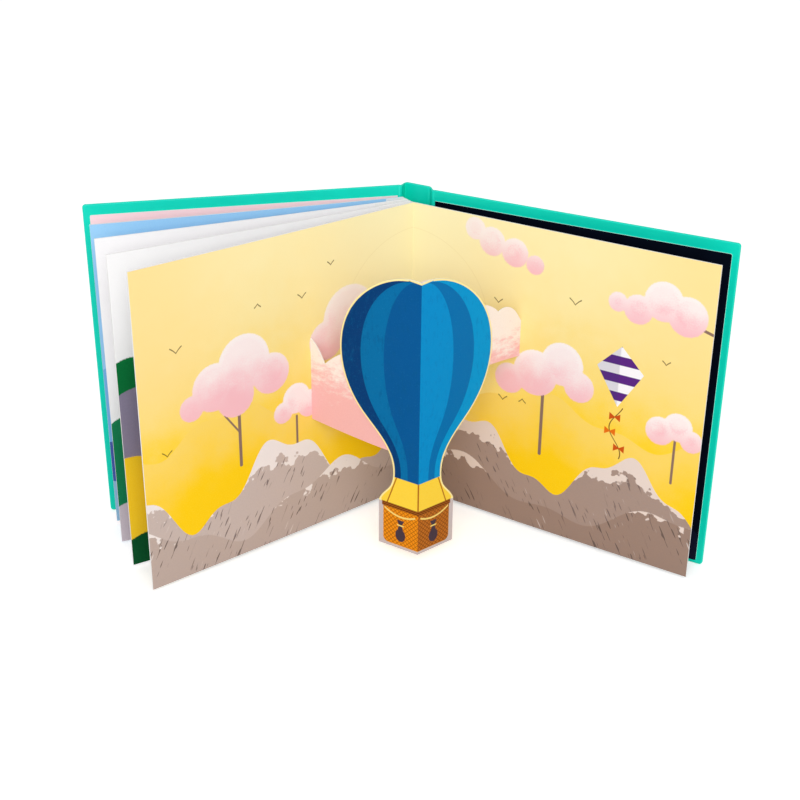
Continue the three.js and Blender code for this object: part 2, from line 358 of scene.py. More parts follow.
def kite(ink, colour):  # a striped kite and its tail of bows
    art = kiteArt
    x, z = art["place"]
    across = abs(ink.u - x)
    up = ink.calc("MAXIMUM", ink.v - z, 0.0)
    down = ink.calc("MAXIMUM", z - ink.v, 0.0)
    spread = across / art["half"] + up / art["rise"] + down / art["drop"]
    mask = ink.within(spread, 1.0, 0.012)
    stripe = ink.calc("FRACT", (ink.v - z + 60) / art["stripe"])
    purple = ink.step(stripe, 0.46, 0.5) * ink.within(stripe, 0.97, 0.02)
    sail = ink.mix(purple, (250, 246, 248), (92, 40, 128))
    shade = ink.within(ink.u, x - 0.5, 0.5)
    sail = ink.mix(shade * 0.28, sail, (60, 50, 110))
    tail = ink.wave(ink.v, x, art["swing"])
    string = ink.within(abs(ink.u - tail), 0.35, 0.15)
    string = string * ink.band(ink.v, z - art["drop"] - art["tailHalf"], art["tailHalf"], 0.2)
    colour = ink.mix(string, colour, (120, 84, 40))
    swing, length, start = art["swing"]
    for step, drop in enumerate(art["bows"]):
        height = z - art["drop"] - drop
        centre = x + swing * math.sin(2 * math.pi / length * height + start)
        dx = abs(ink.u - centre)
        dz = abs(ink.v - height)
        bow = ink.within(dz - dx * 0.62, 0.3, 0.15) * ink.within(dx, art["bowHalf"], 0.2)
        colour = ink.mix(bow, colour, (232, 112, 20) if step % 2 else (206, 84, 20))
    return ink.mix(mask, colour, sail)


pageArt = {  # places on a page: across from the gutter, up from its foot
    "left": {
        "field": (92, (9, 120, 0.4), (3, 41, 1.0)),
        "far hill": (50, (20, 118, 2.2), (5, 37, 0.3)),
        "near hill": (26, (13, 150, 5.2), (4, 52, 1.0)),
        "heads": [
            ([(112, 116, 13), (131, 128, 18), (152, 118, 15), (138, 108, 13), (168, 109, 8)], 104, 138),
            ([(30, 128, 19), (52, 138, 20), (70, 126, 13), (14, 116, 12)], 112, 150),
            ([(84, 88, 9), (94, 94, 10), (104, 87, 7)], 80, 98)],
        "stems": [((136, 62), (136, 104), 1.1), ((94, 56), (94, 82), 0.8), ((136, 84), (146, 98), 0.6)],
        "gulls": [
            (176, 146, 4.0, 1), (88, 158, 3.2, 1), (186, 84, 3.4, 1), (66, 174, 2.6, 1), (120, 162, 2.4, -1)],
        "body": (206, 188, 180), "nearBody": (196, 176, 166), "cap": (240, 230, 226),
    },
    "right": {
        "field": (86, (8, 130, 3.0), (3, 47, 0.0)),
        "far hill": (48, (18, 108, 5.0), (4, 33, 2.0)),
        "near hill": (25, (12, 170, 0.6), (4, 60, 3.0)),
        "heads": [
            ([(186, 166, 12), (171, 172, 12), (156, 164, 9), (143, 166, 6)], 156, 178),
            ([(58, 186, 9), (74, 182, 9), (88, 177, 6), (46, 192, 7)], 174, 192),
            ([(92, 108, 15), (110, 118, 14), (74, 100, 10), (122, 106, 10)], 96, 124),
            ([(34, 126, 18), (16, 136, 16), (50, 116, 10)], 112, 148),
            ([(176, 92, 9), (187, 97, 9), (196, 90, 7)], 84, 102)],
        "stems": [
            ((98, 54), (98, 100), 1.1), ((186, 60), (186, 88), 0.8),
            ((204, 158), (186, 163), 0.9), ((187, 163), (150, 163), 0.6)],
        "gulls": [
            (116, 158, 4.0, 1), (64, 148, 3.0, 1), (70, 84, 3.2, 1), (84, 88, 2.6, -1), (176, 134, 2.6, 1)],
        "body": (172, 148, 136), "nearBody": (160, 134, 120), "cap": (232, 214, 204),
    },
}
skyArt = {  # heights on the page, and a faint darker ring, painted shade of the dent the pop-up presses into the page: centre, half width, half height
    "low": (70.0, 118.0), "middle": (104.0, 160.0), "high": (140.0, 200.0),
    "gutterPaintedLight": (100.0, 10.0), "foreGlow": (110.0, 200.0), "foreRise": (90.0, 130.0),
    "sponge": (0.5, 0.62), "spongeFade": (140.0, 90.0),
    "ring": (131, 57, 53), "ringLine": 0.004, "ringRise": (126.0, 134.0),
}


def sky(ink, sponge):  # warm yellow at the hills and paler above; paler towards the gutter is painted light that lifts the shade between the pages
    art = skyArt
    u, v = ink.u, ink.v
    haze = v + ink.drift * 36 + ink.speck * 18
    tone = ink.mix(ink.step(haze, *art["low"]), (254, 211, 40), (253, 221, 122))
    tone = ink.mix(ink.step(haze, *art["middle"]), tone, (254, 230, 158))
    tone = ink.mix(ink.step(v + ink.drift * 40, *art["high"]), tone, (254, 236, 176))
    # painted light: the sky turns paler near the gutter, lifting the shade where the pages meet
    tone = ink.mix(ink.step(u, *art["gutterPaintedLight"]) * 0.8, tone, (255, 247, 202))
    glow = ink.step(u, *art["foreGlow"]) * ink.step(v, *art["foreRise"])
    tone = ink.mix(glow * 0.7, tone, (253, 221, 143))
    tone = ink.mix(sponge * ink.step(v, *art["spongeFade"]) * 0.4, tone, (255, 208, 40))
    height, halfWide, halfTall = art["ring"]
    wide, tall = u / halfWide, (v - height) / halfTall
    ring = ink.calc("SQRT", wide * wide + tall * tall)
    # painted shade: a faint darker line where the pop-up's outline is pressed into the page
    dentShade = ink.band(ring, 1.0, art["ringLine"], art["ringLine"]) * ink.step(v, *art["ringRise"])
    return ink.mix(dentShade * 0.12, tone, (190, 160, 60))


def pagePrint(side):
    art = pageArt[side]
    ink = Print(side + " page print")
    sponge = ink.step(ink.noise(ink.point, 1.6, 3, 0.8), *skyArt["sponge"])
    colour = sky(ink, sponge)
    field = ink.wave(ink.u, *art["field"])
    depth = ink.step(field - ink.v + ink.drift * 30 + ink.speck * 14, 0.0, 46.0)
    meadow = ink.mix(depth, (252, 214, 104), (254, 206, 10))
    meadow = ink.mix(sponge * 0.4, meadow, (255, 222, 70))
    colour = ink.mix(ink.within(ink.v - field, 0, 0.4), colour, meadow)
    for start, end, width in art["stems"]:
        bark = ink.within(ink.segment(ink.point, start, end), width, 0.2)
        colour = ink.mix(bark, colour, (140, 112, 98))
    for head, low, high in art["heads"]:
        colour = blooms(ink, colour, head, low, high)
    for name, body, snowLine, stroke in (
            ("far hill", "body", 44, (112, 96, 92)), ("near hill", "nearBody", 30, (92, 78, 72))):
        top = ink.wave(ink.u, *art[name])
        colour = hill(ink, colour, top, art[body], art["cap"], snowLine, stroke)
    for x, z, span, turn in art["gulls"]:
        colour = gull(ink, colour, x, z, span, turn)
    if side == "right":
        colour = kite(ink, colour)
    return ink.press(colour)


def bandPrint(name, bands):  # plain fields of colour above one another, each with a soft cut edge
    ink = Print(name)
    colour = None
    for height, wobble, shade, other in bands:
        tone = ink.mix(ink.grain, shade, other)
        if colour is None:
            colour = tone
            continue
        edgeLine = ink.wave(ink.u, height, (wobble, 90, height), (wobble * 0.3, 27, 1.0))
        colour = ink.mix(ink.within(ink.v - edgeLine + ink.speck * 2, 0, 0.4), colour, tone)
    return ink.press(colour)


nightArt = {"moon": (96, 176), "moonHalf": 15, "starScale": 0.045, "starHalf": 0.036}


def nightPrint():
    art = nightArt
    ink = Print("night print")
    colour = ink.mix(ink.cloud, (4, 8, 18), (10, 16, 32))
    near = Num(ink, ink.out("ShaderNodeTexVoronoi", {"feature": "F1"}, {
        "Vector": ink.point, "Scale": art["starScale"]}, "Distance"))
    colour = ink.mix(ink.within(near, art["starHalf"], 0.008), colour, (246, 244, 232))
    moon = ink.within(ink.far(ink.point, *art["moon"]), art["moonHalf"], 0.4)
    colour = ink.mix(moon, colour, ink.mix(ink.grain, (232, 232, 226), (250, 248, 240)))
    hills = ink.wave(ink.u, 30, (10, 130, 1.0), (4, 44, 2.0))
    colour = ink.mix(ink.within(ink.v - hills, 0, 0.4), colour, (20, 24, 44))
    return ink.press(colour, 0.34)


balloonArt = {  # millimetres, but gores are shares of the half width
    "rim": 1.0, "gores": (0.455, 0.75), "goreSoft": 0.006, "dip": 0.11,
    "tall": 200, "wide": 60, "panel": (57.3, 57.7),
    "ropeTop": 57.6, "ropeHalf": 17.4, "ropeLean": 0.36, "ropeInset": 1.8,
}
basketArt = {
    "half": 21.7, "foot": 14.1, "corner": 3.5, "head": 37.5, "border": 38.5, "weave": 1.05,
    "hem": 37.3, "hemHalf": 26.2, "hemTwist": 1.9,
    "swag": 12, "swagSag": 0.025, "swagLow": 31.0, "swagCentre": 13.2, "swagReach": 11.2,
    "bag": 12.6, "belly": (0.077, 18.0, 0.05), "neck": (0.3, 21.6, 0.08), "tie": 25.0, "knot": 28.6,
}


def printedReach():  # how far the print goes from the fold at each height: the card's outline less its rim
    points = balloonOutline()
    points = points[next(i for i, (x, z) in enumerate(points) if z >= popup["basket"][2]):]
    reach = []
    for before, (x, z), after in zip(points, points[1:], points[2:]):
        run, climb = after[0] - before[0], after[1] - before[1]
        length = math.hypot(run, climb)
        if climb <= 0:
            break
        reach.append((z + run / length * balloonArt["rim"], x - climb / length * balloonArt["rim"]))
    return reach[::2]


def printedHalf(ink, z):  # the same as a curve over the height
    tall, wide = balloonArt["tall"], balloonArt["wide"]
    curve = ink.node("ShaderNodeFloatCurve", None, {"Value": z / tall})
    line = curve.mapping.curves[0]
    profile = [(h / tall, w / wide) for h, w in printedReach()]
    line.points[0].location = profile[0]
    line.points[1].location = profile[-1]
    for h, w in profile[1:-1]:
        line.points.new(h, w)
    curve.mapping.extend = "HORIZONTAL"
    curve.mapping.update()
    return Num(ink, curve.outputs[0]) * wide


def envelope(ink, z, side, width):  # blue gores in a cream rim, over a yellow skirt
    art = balloonArt
    reach = printedHalf(ink, z)
    part = width / reach
    # the left half's blues are about four fifths of the right half's: partly printed shading, partly painted
    # shade on the half turned away from the light
    dark = ink.mix(side, (0, 86, 150), (0, 110, 174))
    bright = ink.mix(side, (0, 108, 166), (0, 140, 204))
    deep = ink.mix(side, (0, 58, 116), (0, 148, 208))
    soft = art["goreSoft"]
    middle, outer = [ink.step(part, gore - soft, gore + soft) for gore in art["gores"]]
    tone = ink.mix(middle, ink.mix(side, dark, bright), ink.mix(side, bright, dark))
    tone = ink.mix(outer, tone, deep)
    brush = ink.noise(ink.vector("MULTIPLY", ink.point, (1.0, 0.35, 1.0)), 0.5, 4, 0.7)
    tone = ink.mix(ink.step(brush, 0.5, 0.7) * 0.35 * side, tone, (0, 104, 176))
    swept = ink.step(brush + ink.drift * 0.5, 0.5, 0.72) * (1 - side)
    tone = ink.mix(swept * 0.5, tone, (0, 84, 138))
    tone = ink.mix(ink.step(ink.grain, 0.55, 0.75) * 0.16, tone, (60, 170, 220))
    cream = ink.mix(ink.grain, (252, 232, 150), (254, 240, 176))
    panel = ink.mix(ink.grain, (250, 206, 40), (252, 218, 84))
    printed = ink.mix(ink.step(z, *art["panel"]), panel, tone)
    dip = popup["crown"] - art["rim"] + width * art["dip"]
    inRim = ink.within(width - reach, 0.0, 0.25) * ink.within(z - dip, 0.0, 0.25)
    return ink.mix(inRim, cream, printed)


def ropes(ink, colour, z, width):  # between envelope and basket
    art = balloonArt
    rope = abs(width - (art["ropeHalf"] + (art["ropeTop"] - z) * art["ropeLean"]) + art["ropeInset"])
    strands = ink.calc("MAXIMUM", ink.within(rope, 0.45, 0.2), ink.within(width, 0.55, 0.2))
    mask = strands * ink.step(z, 37.0, 38.0) * ink.within(z, 57.5, 0.2)
    return ink.mix(mask, colour, (176, 110, 30))


def basket(ink, colour, z, side, width):  # woven, in a grey border, with a plaited hem
    art = basketArt
    base = ink.mix(side, (226, 128, 8), (172, 92, 20))
    lightReed = ink.mix(side, (246, 160, 30), (204, 124, 44))
    diagonal = abs(ink.calc("SINE", (width + z) * art["weave"]))
    counter = abs(ink.calc("SINE", (width - z) * art["weave"]))
    weave = ink.calc("MAXIMUM", ink.within(diagonal, 0.3, 0.14), ink.within(counter, 0.3, 0.14))
    reeds = ink.mix(ink.grain, base, lightReed)
    reeds = ink.mix(weave * 0.75, reeds, ink.mix(side, (150, 70, 0), (96, 46, 8)))
    across = ink.calc("MAXIMUM", width - art["half"], 0.0)
    down = ink.calc("MAXIMUM", art["foot"] - z, 0.0)
    corner = ink.calc("SQRT", across * across + down * down)
    inBasket = ink.within(corner, art["corner"], 0.3) * ink.within(z, art["head"], 0.3)
    border = ink.mix(ink.grain, (196, 182, 182), (208, 196, 196))
    colour = ink.mix(ink.within(z, art["border"], 0.3) * (1 - inBasket), colour, border)
    colour = ink.mix(inBasket, colour, reeds)
    twist = abs(ink.calc("SINE", (width * 0.8 + z) * art["hemTwist"]))
    hem = ink.band(z, art["hem"], 1.5, 0.3) * ink.within(width, art["hemHalf"], 0.3)
    return ink.mix(hem, colour, ink.mix(ink.step(twist, 0.3, 0.7), (92, 42, 8), (150, 84, 24)))


def swagAndBags(ink, colour, z, width):  # a cord looped over tied sandbags
    art = basketArt
    fromSwag = width - art["swag"]
    swag = ink.band(z, fromSwag * fromSwag * art["swagSag"] + art["swagLow"], 0.6, 0.2)
    swag = swag * ink.band(width, art["swagCentre"], art["swagReach"], 0.2)
    fromBag = abs(width - art["bag"])
    rounds = []
    for wide, height, tall in (art["belly"], art["neck"]):
        up = z - height
        rounds.append(ink.calc("SQRT", fromBag * fromBag * wide + up * up * tall))
    sack = ink.within(ink.calc("MINIMUM", *rounds), 1.0, 0.06)
    knot = ink.within(fromBag - (z - art["tie"]) * 0.5, 0.9, 0.15)
    knot = knot * ink.step(z, art["tie"] - 0.2, art["tie"] + 0.2) * ink.within(z, art["knot"], 0.2)
    cloth = ink.mix(ink.grain, (58, 44, 56), (84, 68, 78))
    colour = ink.mix(ink.calc("MAXIMUM", sack, knot), colour, cloth)
    tie = ink.band(z, art["tie"], 0.45, 0.15) * ink.within(fromBag, 2.4, 0.2)
    return ink.mix(ink.calc("MAXIMUM", swag, tie), colour, (244, 214, 120))


def balloonPrint(fold):
    ink = Print("balloon print")
    x, z = ink.u - fold, ink.v
    side = ink.step(x, -0.05, 0.05)  # 0 on the left half
    width = abs(x)
    colour = envelope(ink, z, side, width)
    colour = ropes(ink, colour, z, width)
    colour = basket(ink, colour, z, side, width)
    colour = swagAndBags(ink, colour, z, width)
    return ink.press(colour, 0.36)


def stripPrint(fold):  # blossom cloud across both halves, paler at its scalloped top
    ink = Print("strip print")
    brush = ink.noise(ink.vector("MULTIPLY", ink.point, (0.5, 1.0, 1.0)), 0.22, 4, 0.75)
    rightHalf = ink.step(ink.u, fold - 0.05, fold + 0.05)
    reachUp = ink.v - rightHalf * 16 + (brush - 0.5) * 70
    pale = ink.step(reachUp, 98.0, 124.0)
    rose = ink.mix(ink.grain, (238, 174, 172), (246, 192, 188))
    cream = ink.mix(ink.grain, (242, 228, 220), (250, 238, 231))
    return ink.press(ink.mix(pale, rose, cream))


wrap = wrapPaper()
edge = cardEdge()
white = bandPrint("bare card", [(0, 0, (246, 246, 248), (252, 252, 252))])
bandArt = {  # the ground first, then each band from the top: (its upper edge, wobble, two shades)
    "pink": [
        (0, 0, (255, 222, 229), (255, 230, 235)), (60, 6, (248, 190, 198), (252, 202, 208))],
    "blue": [
        (0, 0, (160, 214, 250), (176, 222, 252)), (110, 5, (126, 186, 236), (146, 200, 242)),
        (60, 4, (70, 90, 170), (90, 110, 186)), (30, 4, (150, 196, 226), (170, 208, 234))],
    "pale": [
        (0, 0, (250, 249, 250), (254, 252, 253)), (84, 5, (16, 120, 76), (36, 140, 92)),
        (28, 4, (204, 190, 200), (216, 204, 212))],
    "green": [
        (0, 0, (250, 249, 249), (254, 253, 253)), (133, 3, (4, 104, 52), (20, 122, 62)),
        (115, 3, (130, 122, 146), (150, 142, 164)), (74, 3, (250, 204, 16), (252, 214, 60)),
        (22, 4, (6, 74, 40), (14, 92, 48))],
}
prints = {side: pagePrint(side) for side in ("left", "right")}
for name, bands in bandArt.items():
    prints[name] = bandPrint(name + " print", bands)
prints["night"] = nightPrint()


# Meshes.
def objectFrom(name, data):
    made = bpy.data.objects.new(name, data)
    bpy.context.scene.collection.objects.link(made)
    return made


def pieceFrom(mesh, name, body, replaced):
    piece = objectFrom(name, mesh)
    if isinstance(body, str):
        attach(piece, body)
    else:
        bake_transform(piece)
    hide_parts(replaced)


def meshFrom(name, build, materials):
    bm = bmesh.new()
    build(bm)
    bmesh.ops.remove_doubles(bm, verts=bm.verts, dist=1e-7)
    bmesh.ops.recalc_face_normals(bm, faces=bm.faces)
    mesh = bpy.data.meshes.new(name)
    bm.to_mesh(mesh)
    bm.free()
    for material in materials:
        mesh.materials.append(material)
    return mesh


def wall(bm, low, high):  # the faces between two rings
    for i in range(len(low)):
        j = (i + 1) % len(low)
        bm.faces.new((low[i], low[j], high[j], high[i]))


weld = 1e-3  # an outline's point this near a panel's end lies on the fold, in millimetres


# A card folded along upright lines. The path is its middle in plan, one point at each end and fold;
# each panel is an outline of (distance from the panel's start, height).
def foldedCard(name, path, panels, thickness, materials):
    half = thickness / 2
    directions = [(path[i + 1] - path[i]).normalized() for i in range(len(path) - 1)]
    lengths = [(path[i + 1] - path[i]).length for i in range(len(path) - 1)]
    starts = [sum(lengths[:i]) for i in range(len(path))]

    def place(panel, across, side):  # side is 1 on the printed front, -1 on the back
        normal = rightOf(directions[panel])
        for end, point in ((0, path[panel]), (lengths[panel], path[panel + 1])):
            other = panel - 1 if end == 0 else panel + 1
            if abs(across - end) < weld and 0 <= other < len(directions):
                middle = (normal + rightOf(directions[other])).normalized()
                return point + middle * (side * half / middle.dot(normal))
        return path[panel] + directions[panel] * across + normal * (side * half)

    def build(bm):
        uv = bm.loops.layers.uv.new("print")
        for panel, outline in enumerate(panels):
            rings = {}
            for side in (1, -1):
                rings[side] = []
                for across, up in outline:
                    at = place(panel, across, side)
                    rings[side].append(bm.verts.new((at.x * mm, at.y * mm, up * mm)))
                face = bm.faces.new(rings[side])
                face.material_index = 0 if side == 1 else 1
                for loop, (across, up) in zip(face.loops, outline):
                    loop[uv].uv = ((starts[panel] + across) * mm, up * mm)
            for i, (across, up) in enumerate(outline):
                j = (i + 1) % len(outline)
                folded = False
                for end, other in ((0, panel - 1), (lengths[panel], panel + 1)):
                    onEnd = abs(across - end) < weld and abs(outline[j][0] - end) < weld
                    folded = folded or (onEnd and 0 <= other < len(directions))
                if folded:
                    continue
                face = bm.faces.new((rings[1][i], rings[1][j], rings[-1][j], rings[-1][i]))
                face.material_index = 2
                for loop, corner in zip(face.loops, (i, j, j, i)):
                    loop[uv].uv = ((starts[panel] + outline[corner][0]) * mm, outline[corner][1] * mm)

    return meshFrom(name, build, materials)


fan = {  # leaf by leaf; front is the face turned right, back the one turned left, and facing sides match
    "start": [8.0, 5.3, 2.7, 0.0, 0.0],
    "bow": [1.0, 0.8, 0.8, 0.6, -0.6],
    "front": ["blue", "pale", "green", "left", "night"],
    "back": ["pink", "blue", "pale", "green", "right"],
    "across": 49, "up": 9,
}


# Leaves, each grown by one Geometry Nodes tree.
def leafTree():
    tree = bpy.data.node_groups.new("fannedLeaf", "GeometryNodeTree")
    kinds = {"Width": "Float", "Height": "Float", "Thickness": "Float", "Foot": "Float", "Heading": "Float",
             "Bow": "Float", "Root": "Vector", "Front print": "Material", "Back print": "Material",
             "Cut edge": "Material"}
    for name, kind in kinds.items():
        tree.interface.new_socket(name, in_out="INPUT", socket_type="NodeSocket" + kind)
    tree.interface.new_socket("Geometry", in_out="OUTPUT", socket_type="NodeSocketGeometry")
    grow = Nodes(tree)
    given = grow.node("NodeGroupInput").outputs
    width, height, thickness, foot, heading, bow = [
        Num(grow, given[name]) for name, kind in kinds.items() if kind == "Float"]

    grid = grow.out("GeometryNodeMeshGrid", None, {
        "Size X": width, "Size Y": height, "Vertices X": fan["across"], "Vertices Y": fan["up"]})
    spot = grow.split(grow.out("GeometryNodeInputPosition"))
    across = spot[0] + width * 0.5
    up = spot[1] + height * 0.5
    printed = grow.out("GeometryNodeStoreNamedAttribute", {"data_type": "FLOAT2", "domain": "CORNER"}, {
        "Geometry": grid, "Name": "print", "Value": grow.combine((across, up))})
    swell = bow * grow.calc("SINE", across / width * math.pi)
    flat = grow.combine((swell + thickness * 0.5, across * -1.0, up + foot))
    turned = grow.out("ShaderNodeVectorRotate", {"rotation_type": "Z_AXIS"}, {
        "Vector": flat, "Angle": heading * -1.0})
    sheet = grow.out("GeometryNodeSetPosition", None, {
        "Geometry": printed, "Position": grow.vector("ADD", turned, given["Root"])})
    grown = grow.node("GeometryNodeExtrudeMesh", {"mode": "FACES"}, {
        "Mesh": sheet, "Offset Scale": thickness, "Individual": False}).outputs
    rear = grow.out("GeometryNodeSetMaterial", None, {
        "Geometry": grown["Mesh"], "Selection": grown["Top"], "Material": given["Back print"]})
    rear = grow.out("GeometryNodeStoreNamedAttribute", {"data_type": "BOOLEAN", "domain": "FACE"}, {
        "Geometry": rear, "Name": "cut", "Value": grown["Side"]})
    front = grow.out("GeometryNodeFlipFaces", None, {"Mesh": sheet})
    front = grow.out("GeometryNodeSetMaterial", None, {"Geometry": front, "Material": given["Front print"]})
    join = grow.node("GeometryNodeJoinGeometry")
    for part in (rear, front):
        tree.links.new(part, join.inputs[0])
    merged = grow.out("GeometryNodeMergeByDistance", None, {"Geometry": join.outputs[0], "Distance": 1e-6})
    real = grow.out("GeometryNodeRealizeInstances", None, {"Geometry": merged})
    cut = grow.out("GeometryNodeInputNamedAttribute", {"data_type": "BOOLEAN"}, {"Name": "cut"}, "Attribute")
    edged = grow.out("GeometryNodeSetMaterial", None, {
        "Geometry": real, "Selection": cut, "Material": given["Cut edge"]})
    grow.node("NodeGroupOutput", None, {0: edged})
    return tree


def leafStart(index):
    return leafRoots[index] + headingOf(block["headings"][index]) * fan["start"][index]


def growLeaves():
    tree = leafTree()
    ids = {item.name: item.identifier for item in tree.interface.items_tree if item.in_out == "INPUT"}
    for index, heading in enumerate(block["headings"]):
        holder = objectFrom("growing", bpy.data.meshes.new("growing"))
        modifier = holder.modifiers.new("leaf", "NODES")
        modifier.node_group = tree
        root = leafStart(index)
        settings = {
            "Width": (block["width"] - fan["start"][index]) * mm, "Height": block["height"] * mm,
            "Thickness": block["thickness"] * mm, "Foot": block["foot"] * mm,
            "Heading": math.radians(heading), "Bow": fan["bow"][index] * mm,
            "Root": (root.x * mm, root.y * mm, 0.0),
            "Front print": prints[fan["front"][index]], "Back print": prints[fan["back"][index]],
            "Cut edge": edge}
        for name, value in settings.items():
            modifier[ids[name]] = value
        holder.update_tag()
        bpy.context.view_layer.update()
        grown = holder.evaluated_get(bpy.context.evaluated_depsgraph_get())
        mesh = bpy.data.meshes.new_from_object(grown)
        bpy.data.objects.remove(holder)
        mesh.attributes.remove(mesh.attributes["cut"])
        pieceFrom(mesh, "leaf_%d" % (index + 1), "book_block", "pages")
    print("leaves:", len(block["headings"]))


# The folded backs of the leaves, between their roots and the spine. The small sizes keep faces apart.
foldBack = {
    "grip": 0.6, "seat": 4.0, "reach": [12, 24, 26], "spineSpan": (-8.6, -6.2),
    "set": 0.15, "liningSet": 7.0, "clear": 0.02, "overlap": 0.05, "gap": 0.1,
}


def foldBacks():
    size = foldBack
    half = block["thickness"] / 2 - size["clear"]
    outs = [headingOf(h) for h in block["headings"]]
    starts = [leafStart(index) for index in range(len(outs))]
    wedges = []  # each runs from one leaf's face to the next leaf's root
    for root, out, reach, following in zip(starts, outs, size["reach"], starts[1:]):
        wedges.append([root - out * size["overlap"], root + out * reach + leftOf(out) * half, following])
    face = gutter + outs[-1] * size["grip"] + leftOf(outs[-1]) * half
    wedges.append([starts[block["openLeaf"] - 1], gutter, face])
    backs = case["boardThickness"] / 2 + size["gap"]
    outerSide = rightOf(outs[0]) * half
    lining = [starts[0] + outerSide, starts[0] + outs[0] * size["seat"] + outerSide]
    lining += [spineAlong * along - spineOut * backs for along in size["spineSpan"]]

    def prism(bm, outline, inset):
        levels = [block["foot"] + inset, block["foot"] + block["height"] - inset]
        rings = [[bm.verts.new((p.x * mm, p.y * mm, z * mm)) for p in outline] for z in levels]
        for ring in rings:
            bm.faces.new(ring)
        wall(bm, *rings)

    def build(bm):
        for wedge in wedges:
            prism(bm, wedge, foldBack["set"])
        prism(bm, lining, foldBack["liningSet"])

    mesh = meshFrom("fold_backs", build, [edge])
    pieceFrom(mesh, "fold_backs", "book_block", "pages")
    print("fold backs")


# The pop-up.
popup = {
    "card": 0.6, "seat": 0.3, "left": 82, "right": 80, "top": 146,
    "tab": 11, "tabFootCut": 0.08, "tabHeadCut": 0.4,
    "leftFold": (79, 133), "leftFoot": 73, "leftBend": (0.6, -6),
    "leftScallops": [((0.78, 6), (0.56, -10)), ((0.36, -1), (0.13, -16)), ((0.07, -4), (0, 0))],
    "rightFold": (119, 142), "rightFoot": 116, "rightBend": (0.5, 3),
    "rightScallops": [((0.8, 13), (0.6, 7.5)), ((0.42, 24), (0.24, 10)), ((0.1, 16), (0, 0))],
    "balloonCard": 0.7, "crown": 185.6, "crownRise": 4.4, "crownPull": 0.32, "shoulder": 0.74,
    "belly": (57, 134), "skirt": (18, 60), "waist": (0.7, 3), "swell": 10, "ease": 16,
    "basket": (28.6, 8.5, 39), "basketCorner": 0.5, "neck": (4, 9),
}
lift = block["thickness"] / 2 + popup["seat"] + popup["card"] / 2
leftFold = gutter + leftPage * popup["left"] + leftOf(leftPage) * lift
rightFold = gutter + rightPage * popup["right"] + rightOf(rightPage) * lift
ridge = meet(leftFold, rightPage, rightFold, leftPage)


def stripHalf(side, length):  # its outline, from the page fold to the middle fold
    (foot, head), bend = popup[side + "Fold"], popup[side + "Bend"]

    def on(share, rise):
        return (length * share, head + (popup["top"] - head) * share + rise)

    middle = (length * bend[0], foot + bend[1])
    outline = [(0, foot)] + arch((0, foot), middle, (length, popup[side + "Foot"]))
    outline.append((length, popup["top"]))
    for crest, notch in popup[side + "Scallops"]:
        outline += arch(outline[-1], on(*crest), on(*notch))
    return [(min(across, length), up) for across, up in outline[:-1]] + [(0, head)]


def popupStrip():
    leftLength = (ridge - leftFold).length
    rightLength = (ridge - rightFold).length
    left = stripHalf("left", leftLength)
    # the left half reaches lower at the middle fold, so its fold edge is split where the right one starts
    cut = [i for i, (x, z) in enumerate(left) if abs(x - leftLength) < weld][0]
    left.insert(cut + 1, (leftLength, popup["rightFoot"]))
    right = [(rightLength - x, z) for x, z in stripHalf("right", rightLength)]
    tab = popup["tab"]
    tabs = []
    for foot, head in (popup["leftFold"], popup["rightFold"]):
        low = foot + (head - foot) * popup["tabFootCut"]
        high = head - (head - foot) * popup["tabHeadCut"]
        tabs.append([(0, foot), (tab, low), (tab, high), (0, head)])
    panels = [[(tab - x, z) for x, z in reversed(tabs[0])], left, right, tabs[1]]
    path = [leftFold - leftPage * tab, leftFold, ridge, rightFold, rightFold - rightPage * tab]
    mesh = foldedCard("popup_strip", path, panels, popup["card"], [stripPrint(tab + leftLength), white, edge])
    pieceFrom(mesh, "popup_strip", "book_block", "popup_strip")
    print("pop-up strip")


def balloonOutline():  # the right half, from the foot of the fold to the crown
    half, foot, rim = popup["basket"]
    corner = popup["basketCorner"]
    outline = [(0, foot), (half - corner, foot)]
    for step in range(1, 7):
        turn = -math.pi / 2 + step * math.pi / 12
        outline.append((half - corner + corner * math.cos(turn), foot + corner + corner * math.sin(turn)))
    outline.append((half, rim))
    (skirtHalf, skirt), (bellyHalf, belly) = popup["skirt"], popup["belly"]
    waist = (bellyHalf * popup["waist"][0], (belly + skirt) / 2 - popup["waist"][1])
    inset, rise = popup["neck"]
    swell, ease = popup["swell"], popup["ease"]
    below, above = [(waist[0] + go, waist[1] + go) for go in (-swell, swell)]
    outline += bezier((half, rim), (half - inset, rim + rise), (skirtHalf, rim + rise), (skirtHalf, skirt))
    outline += bezier((skirtHalf, skirt), (skirtHalf, skirt + ease), below, waist)
    outline += bezier(waist, above, (bellyHalf, belly - ease), (bellyHalf, belly))
    crown = popup["crown"]
    shoulder = (crown - belly) * popup["shoulder"]
    outline += bezier((bellyHalf, belly), (bellyHalf, belly + shoulder),
                      (bellyHalf * popup["crownPull"], crown + popup["crownRise"]), (0, crown), 22)
    return outline


def popupBalloon():
    away = popup["card"] / 2 + popup["seat"] + popup["balloonCard"] / 2
    nose = meet(ridge + rightOf(rightPage) * away, rightPage, ridge + leftOf(leftPage) * away, leftPage)
    half = popup["belly"][0]
    outline = balloonOutline()
    left = [(half - x, z) for x, z in reversed(outline)]
    path = [nose - rightPage * half, nose, nose - leftPage * half]
    inks = [balloonPrint(half), white, edge]
    mesh = foldedCard("popup_balloon", path, [left, outline], popup["balloonCard"], inks)
    pieceFrom(mesh, "popup_balloon", "book_block", "popup_balloon")
    print("pop-up balloon")


# The case.
def smoothLine(nodes, steps):  # a curve in plan through all the nodes
    line = []
    for i, (a, b) in enumerate(zip(nodes, nodes[1:])):
        before, after = nodes[max(i - 1, 0)], nodes[min(i + 2, len(nodes) - 1)]
        for k in range(steps):
            t = k / steps
            line.append(0.5 * (2 * a + (b - before) * t + (2 * before - 5 * a + 4 * b - after) * t * t
                               + (3 * a - before - 3 * b + after) * t * t * t))
    return line + [nodes[-1]]


